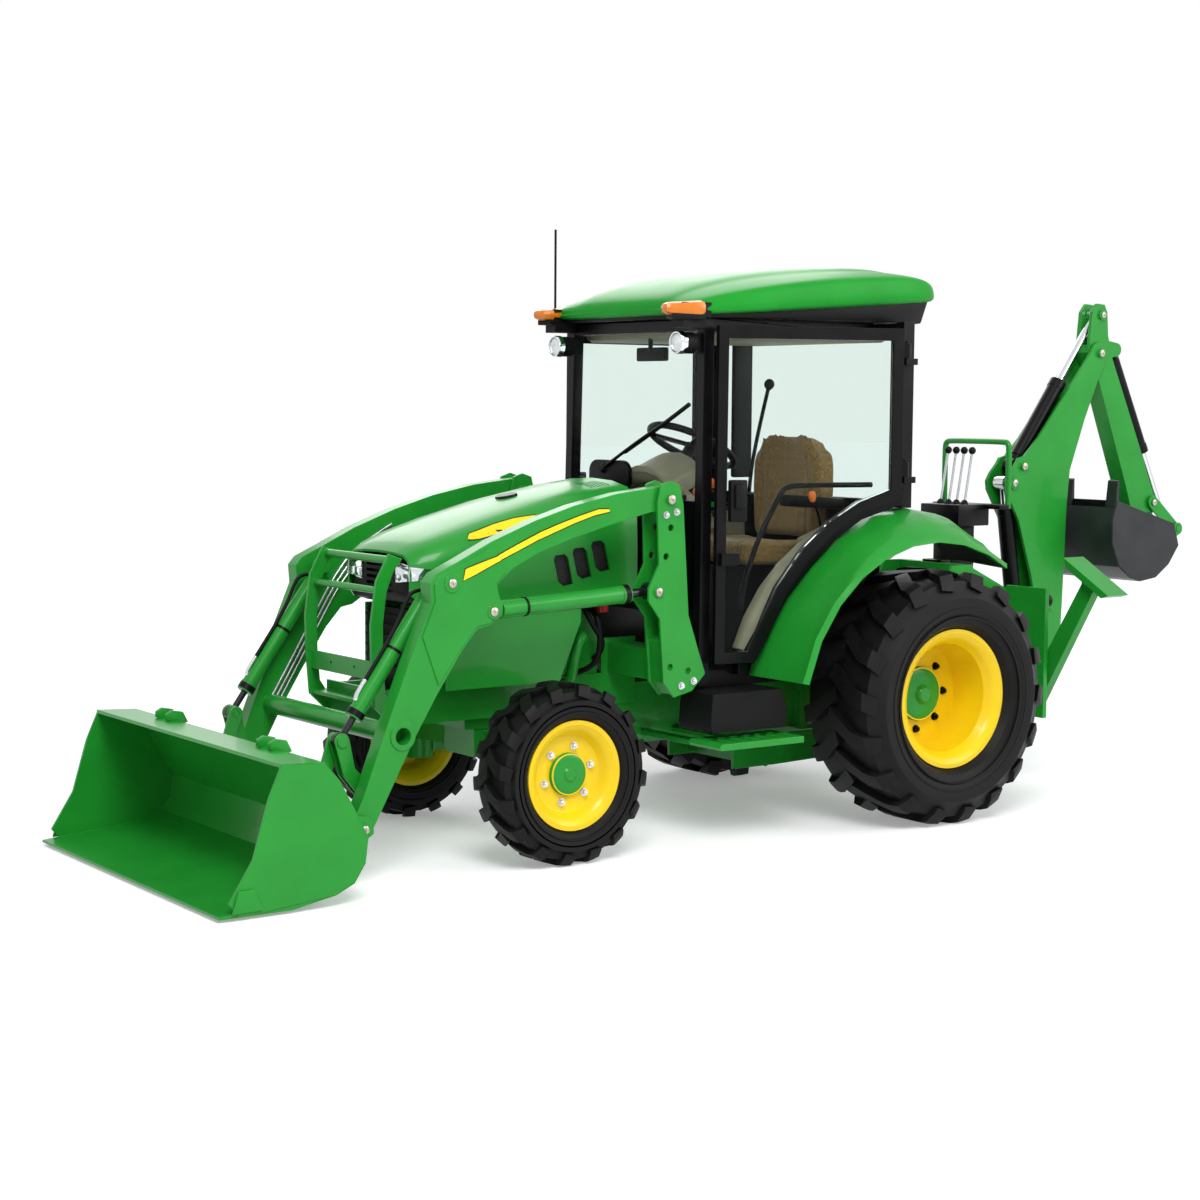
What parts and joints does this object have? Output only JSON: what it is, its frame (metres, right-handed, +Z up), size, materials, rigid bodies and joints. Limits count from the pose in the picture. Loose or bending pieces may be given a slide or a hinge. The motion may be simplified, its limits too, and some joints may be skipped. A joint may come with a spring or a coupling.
{
  "type": "backhoe loader",
  "caption": "Compact cab tractor with a front loader bucket on curved arms, a folded rear backhoe with digging bucket, and raised stabiliser legs",
  "frame": {"origin": "middle of the length and width, on the ground", "axes": "+X forward (driving direction), +Y to the left, +Z up"},
  "size_m": [5.587, 1.784, 2.447],
  "materials": {
    "green_paint": "gloss green paint",
    "black_paint": "satin black paint",
    "black_plastic": "moulded black plastic",
    "window_glass": "tinted safety glass",
    "seat_fabric": "woven brown fabric",
    "trim_plastic": "moulded beige trim",
    "yellow_paint": "gloss yellow paint",
    "tyre_rubber": "black rubber",
    "rod_chrome": "bright chrome rod"
  },
  "bodies": {
    "tractor": {"chassis": "green_paint", "front_axle": "green_paint", "brush_guard": "green_paint", "grille": "black_plastic", "side_panels": "green_paint", "cab_frame": "black_paint", "cab_glass": "window_glass", "roof": "green_paint", "fenders": "green_paint", "seat": "seat_fabric", "consoles": "trim_plastic", "steering": "black_plastic", "fuel_tank": "black_plastic", "lamps": "black_plastic", "loader_masts": "green_paint", "backhoe_frame": "green_paint", "backhoe_station": "black_paint"},
    "hood": {"hood": "green_paint", "headlamps": "black_plastic"},
    "door_l": {"door_left": "black_paint", "door_left_glass": "window_glass"},
    "door_r": {"door_right": "black_paint", "door_right_glass": "window_glass"},
    "knuckle_l": {"knuckle_left": "green_paint"},
    "knuckle_r": {"knuckle_right": "green_paint"},
    "wheel_rl": {"tyre_rear_left": "tyre_rubber", "rim_rear_left": "yellow_paint"},
    "wheel_rr": {"tyre_rear_right": "tyre_rubber", "rim_rear_right": "yellow_paint"},
    "wheel_fl": {"tyre_front_left": "tyre_rubber", "rim_front_left": "yellow_paint"},
    "wheel_fr": {"tyre_front_right": "tyre_rubber", "rim_front_right": "yellow_paint"},
    "arms": {"loader_arms": "green_paint"},
    "lift_cyl": {"lift_barrels": "green_paint"},
    "lift_rod": {"lift_rods": "rod_chrome"},
    "tilt_cyl": {"tilt_barrels": "green_paint"},
    "tilt_rod": {"tilt_rods": "rod_chrome"},
    "guide": {"guide_links": "green_paint"},
    "coupler": {"coupler_links": "green_paint"},
    "bucket": {"loader_bucket": "green_paint"},
    "post": {"swing_post": "green_paint"},
    "boom": {"backhoe_boom": "green_paint"},
    "boom_cyl": {"boom_barrel": "black_paint"},
    "boom_cyl_rod": {"boom_rod": "rod_chrome"},
    "dipper": {"dipper": "green_paint"},
    "dipper_cyl": {"dipper_barrel": "black_paint"},
    "dipper_cyl_rod": {"dipper_rod": "rod_chrome"},
    "curl_cyl": {"curl_barrel": "black_paint"},
    "curl_cyl_rod": {"curl_rod": "rod_chrome"},
    "curl_guide": {"curl_guide": "green_paint"},
    "curl_coupler": {"curl_coupler": "green_paint"},
    "dig_bucket": {"backhoe_bucket": "black_paint"},
    "stab_l": {"stabiliser_left": "green_paint"},
    "stab_l_cyl": {"stab_barrel_left": "black_paint"},
    "stab_l_rod": {"stab_rod_left": "rod_chrome"},
    "stab_r": {"stabiliser_right": "green_paint"},
    "stab_r_cyl": {"stab_barrel_right": "black_paint"},
    "stab_r_rod": {"stab_rod_right": "rod_chrome"}
  },
  "joints": [
    {"name": "steer_left", "type": "hinge", "parent": "tractor", "child": "knuckle_l", "pos_m": [1.277, 0.446, 0.397], "axis": [0, 0, 1], "range_deg": [-45, 45]},
    {"name": "steer_right", "type": "hinge", "parent": "tractor", "child": "knuckle_r", "pos_m": [1.277, -0.446, 0.397], "axis": [0, 0, 1], "range_deg": [-45, 45]},
    {"name": "wheel_front_left", "type": "hinge", "parent": "knuckle_l", "child": "wheel_fl", "pos_m": [1.277, 0.5725, 0.34], "axis": [0, 1, 0], "continuous": true},
    {"name": "wheel_front_right", "type": "hinge", "parent": "knuckle_r", "child": "wheel_fr", "pos_m": [1.277, -0.5725, 0.34], "axis": [0, 1, 0], "continuous": true},
    {"name": "wheel_rear_left", "type": "hinge", "parent": "tractor", "child": "wheel_rl", "pos_m": [-0.483, 0.682, 0.52], "axis": [0, 1, 0], "continuous": true},
    {"name": "wheel_rear_right", "type": "hinge", "parent": "tractor", "child": "wheel_rr", "pos_m": [-0.483, -0.682, 0.52], "axis": [0, 1, 0], "continuous": true},
    {"name": "hood_lift", "type": "hinge", "parent": "tractor", "child": "hood", "pos_m": [0.729, 0, 1.352], "axis": [0, -1, 0], "range_deg": [0, 50]},
    {"name": "door_left", "type": "hinge", "parent": "tractor", "child": "door_l", "pos_m": [-0.371, 0.652, 1.4], "axis": [0, 0, 1], "range_deg": [0, 75]},
    {"name": "door_right", "type": "hinge", "parent": "tractor", "child": "door_r", "pos_m": [-0.371, -0.652, 1.4], "axis": [0, 0, -1], "range_deg": [0, 75]},
    {"name": "loader_lift", "type": "hinge", "parent": "tractor", "child": "arms", "pos_m": [0.763, 0, 1.349], "axis": [0, -1, 0], "range_deg": [-6, 75]},
    {"name": "lift_cylinder", "type": "hinge", "parent": "arms", "child": "lift_cyl", "pos_m": [1.563, 0, 0.956], "axis": [0, -1, 0], "range_deg": [-9.67, 0.96]},
    {"name": "lift_rod_slide", "type": "slide", "parent": "lift_cyl", "child": "lift_rod", "axis": [-0.9986, 0, 0.0522], "range_m": [-0.0347, 0.4101]},
    {"name": "loader_tilt", "type": "hinge", "parent": "arms", "child": "bucket", "pos_m": [2.117, 0, 0.21], "axis": [0, 1, 0], "range_deg": [-28, 120]},
    {"name": "guide_turn", "type": "hinge", "parent": "arms", "child": "guide", "pos_m": [2.034, 0, 0.307], "axis": [0, 1, 0], "range_deg": [-18.23, 77.16]},
    {"name": "coupler_turn", "type": "hinge", "parent": "guide", "child": "coupler", "pos_m": [2.145, 0, 0.512], "axis": [0, 1, 0], "range_deg": [-32.79, 7.88]},
    {"name": "tilt_cylinder", "type": "hinge", "parent": "arms", "child": "tilt_cyl", "pos_m": [1.743, 0, 1.068], "axis": [0, 1, 0], "range_deg": [-1.18, 4.07]},
    {"name": "tilt_rod_slide", "type": "slide", "parent": "tilt_cyl", "child": "tilt_rod", "axis": [0.5859, 0, -0.8104], "range_m": [-0.0684, 0.2868]},
    {"name": "swing", "type": "hinge", "parent": "tractor", "child": "post", "pos_m": [-1.583, 0, 0.56], "axis": [0, 0, 1], "range_deg": [-60, 60]},
    {"name": "boom_lower", "type": "hinge", "parent": "post", "child": "boom", "pos_m": [-1.903, 0, 0.5], "axis": [0, -1, 0], "range_deg": [0, 100]},
    {"name": "boom_cylinder", "type": "hinge", "parent": "post", "child": "boom_cyl", "pos_m": [-1.728, 0, 0.66], "axis": [0, -1, 0], "range_deg": [-0.3, 100.69]},
    {"name": "boom_rod_slide", "type": "slide", "parent": "boom_cyl", "child": "boom_cyl_rod", "axis": [0.1514, 0, 0.9885], "range_m": [-0.002, 0.3652]},
    {"name": "dipper_out", "type": "hinge", "parent": "boom", "child": "dipper", "pos_m": [-2.182, 0, 1.956], "axis": [0, 1, 0], "range_deg": [0, 115]},
    {"name": "dipper_cylinder", "type": "hinge", "parent": "boom", "child": "dipper_cyl", "pos_m": [-1.681, 0, 1.428], "axis": [0, 1, 0], "range_deg": [-0.3, 3.02]},
    {"name": "dipper_rod_slide", "type": "slide", "parent": "dipper_cyl", "child": "dipper_cyl_rod", "axis": [-0.5995, 0, 0.8004], "range_m": [-0.3096, 0.002]},
    {"name": "digger_uncurl", "type": "hinge", "parent": "dipper", "child": "dig_bucket", "pos_m": [-2.528, 0, 1.15], "axis": [0, 1, 0], "range_deg": [0, 160]},
    {"name": "curl_guide_turn", "type": "hinge", "parent": "dipper", "child": "curl_guide", "pos_m": [-2.598, 0, 1.24], "axis": [0, 1, 0], "range_deg": [-0.3, 123.74]},
    {"name": "curl_coupler_turn", "type": "hinge", "parent": "curl_guide", "child": "curl_coupler", "pos_m": [-2.763, 0, 1.108], "axis": [0, 1, 0], "range_deg": [-87.77, 0.3]},
    {"name": "curl_cylinder", "type": "hinge", "parent": "dipper", "child": "curl_cyl", "pos_m": [-2.325, 0, 1.975], "axis": [0, 1, 0], "range_deg": [-0.3, 2.62]},
    {"name": "curl_rod_slide", "type": "slide", "parent": "curl_cyl", "child": "curl_cyl_rod", "axis": [-0.4509, 0, -0.8926], "range_m": [-0.3729, 0.002]},
    {"name": "stabiliser_left", "type": "hinge", "parent": "tractor", "child": "stab_l", "pos_m": [-1.473, 0.34, 0.36], "axis": [-1, 0, 0], "range_deg": [0, 105]},
    {"name": "stab_cylinder_left", "type": "hinge", "parent": "tractor", "child": "stab_l_cyl", "pos_m": [-1.473, 0.41, 0.84], "axis": [-1, 0, 0], "range_deg": [-30.02, 0.3]},
    {"name": "stab_rod_slide_left", "type": "slide", "parent": "stab_l_cyl", "child": "stab_l_rod", "axis": [0, -0.3426, -0.9395], "range_m": [-0.002, 0.1109]},
    {"name": "stabiliser_right", "type": "hinge", "parent": "tractor", "child": "stab_r", "pos_m": [-1.473, -0.34, 0.36], "axis": [1, 0, 0], "range_deg": [0, 105]},
    {"name": "stab_cylinder_right", "type": "hinge", "parent": "tractor", "child": "stab_r_cyl", "pos_m": [-1.473, -0.41, 0.84], "axis": [1, 0, 0], "range_deg": [-30.02, 0.3]},
    {"name": "stab_rod_slide_right", "type": "slide", "parent": "stab_r_cyl", "child": "stab_r_rod", "axis": [0, 0.3426, -0.9395], "range_m": [-0.002, 0.1109]}
  ],
  "couplings": [
    {"joint": "steer_right", "follows": "steer_left", "ratio": 1},
    {"joint": "lift_cylinder", "follows": "loader_lift", "ratio": -0.12622},
    {"joint": "lift_rod_slide", "follows": "loader_lift", "m_per_rad": 0.3118},
    {"joint": "guide_turn", "follows": "loader_tilt", "ratio": 0.64048},
    {"joint": "coupler_turn", "follows": "loader_tilt", "ratio": -0.27075},
    {"joint": "tilt_cylinder", "follows": "loader_tilt", "ratio": 0.031429},
    {"joint": "tilt_rod_slide", "follows": "loader_tilt", "m_per_rad": 0.13597},
    {"joint": "boom_cylinder", "follows": "boom_lower", "ratio": 1.0039},
    {"joint": "boom_rod_slide", "follows": "boom_lower", "m_per_rad": 0.20812},
    {"joint": "dipper_cylinder", "follows": "dipper_out", "ratio": 0.023621},
    {"joint": "dipper_rod_slide", "follows": "dipper_out", "m_per_rad": -0.15326},
    {"joint": "curl_guide_turn", "follows": "digger_uncurl", "ratio": 0.7715},
    {"joint": "curl_coupler_turn", "follows": "digger_uncurl", "ratio": -0.54669},
    {"joint": "curl_cylinder", "follows": "digger_uncurl", "ratio": 0.01449},
    {"joint": "curl_rod_slide", "follows": "digger_uncurl", "m_per_rad": -0.13281},
    {"joint": "stab_cylinder_left", "follows": "stabiliser_left", "ratio": -0.28308},
    {"joint": "stab_rod_slide_left", "follows": "stabiliser_left", "m_per_rad": 0.059413},
    {"joint": "stab_cylinder_right", "follows": "stabiliser_right", "ratio": -0.28308},
    {"joint": "stab_rod_slide_right", "follows": "stabiliser_right", "m_per_rad": 0.059413}
  ]
}
